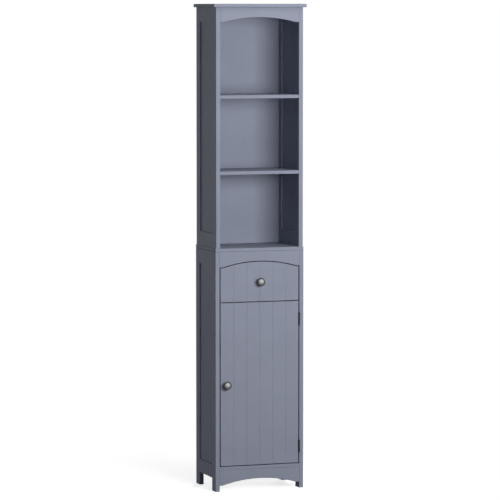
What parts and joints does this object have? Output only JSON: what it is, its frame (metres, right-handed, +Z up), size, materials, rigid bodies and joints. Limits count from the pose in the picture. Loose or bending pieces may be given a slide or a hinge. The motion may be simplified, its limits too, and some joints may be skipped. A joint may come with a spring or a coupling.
{
  "type": "tall bathroom cabinet",
  "caption": "Tall slim bathroom cabinet with open shelving over a lower unit with an arched-top drawer and a planked cupboard door on butt hinges.",
  "frame": {"origin": "bottom centre of the whole object's box, knobs included", "axes": "+Z up, -Y out of the front towards the user, +X to the right of a person facing the front"},
  "size_m": [0.34, 0.244, 1.7],
  "materials": {
    "paint": "satin slate blue-grey paint on board",
    "back_paint": "matt slate blue-grey paint on thin board",
    "drawer_paint": "matt slate blue-grey foil on board",
    "bare_wood": "sanded, unpainted",
    "knob_metal": "aged pewter",
    "hinge_metal": "dark antique nickel",
    "zinc": "bright zinc plate",
    "catch_plastic": "moulded",
    "magnet": "sintered"
  },
  "bodies": {
    "root": {"anti_tip_bracket": "zinc", "apron": "paint", "bottom_board": "paint", "cam_locks": "zinc", "catch_magnet": "magnet", "inner_shelf": "paint", "left_runner": "bare_wood", "lower_back_panel": "back_paint", "lower_front_rail": "paint", "lower_hinge_frame_leaf": "hinge_metal", "lower_hinge_pin": "hinge_metal", "lower_left_bottom_rail": "paint", "lower_left_front_leg": "paint", "lower_left_panel": "paint", "lower_left_rear_leg": "paint", "lower_left_top_rail": "paint", "lower_right_bottom_rail": "paint", "lower_right_front_leg": "paint", "lower_right_panel": "paint", "lower_right_rear_leg": "paint", "lower_right_top_rail": "paint", "lower_top_board": "paint", "magnetic_catch": "catch_plastic", "middle_shelf": "paint", "right_runner": "bare_wood", "shelf_pins": "zinc", "top_board": "paint", "unit_dowels": "bare_wood", "upper_back_panel": "back_paint", "upper_front_rail": "paint", "upper_hinge_frame_leaf": "hinge_metal", "upper_hinge_pin": "hinge_metal", "upper_left_bottom_rail": "paint", "upper_left_front_post": "paint", "upper_left_panel": "paint", "upper_left_rear_post": "paint", "upper_left_top_rail": "paint", "upper_right_bottom_rail": "paint", "upper_right_front_post": "paint", "upper_right_panel": "paint", "upper_right_rear_post": "paint", "upper_right_top_rail": "paint", "upper_shelf": "paint"},
    "drawer": {"drawer_back": "drawer_paint", "drawer_bottom": "drawer_paint", "drawer_front": "paint", "drawer_knob": "knob_metal", "drawer_knob_screw": "zinc", "drawer_left_side": "drawer_paint", "drawer_right_side": "drawer_paint", "drawer_stop": "bare_wood"},
    "door": {"door_panel": "paint", "door_knob": "knob_metal", "door_knob_screw": "zinc", "upper_hinge_door_leaf": "hinge_metal", "lower_hinge_door_leaf": "hinge_metal", "strike_plate": "zinc"}
  },
  "joints": [
    {"name": "drawer_slide", "type": "slide", "parent": "root", "child": "drawer", "axis": [0, -1, 0], "range_m": [0, 0.15]},
    {"name": "door_hinge", "type": "hinge", "parent": "root", "child": "door", "pos_m": [0.146, -0.101, 0.3755], "axis": [0, 0, 1], "range_deg": [0, 180]}
  ]
}
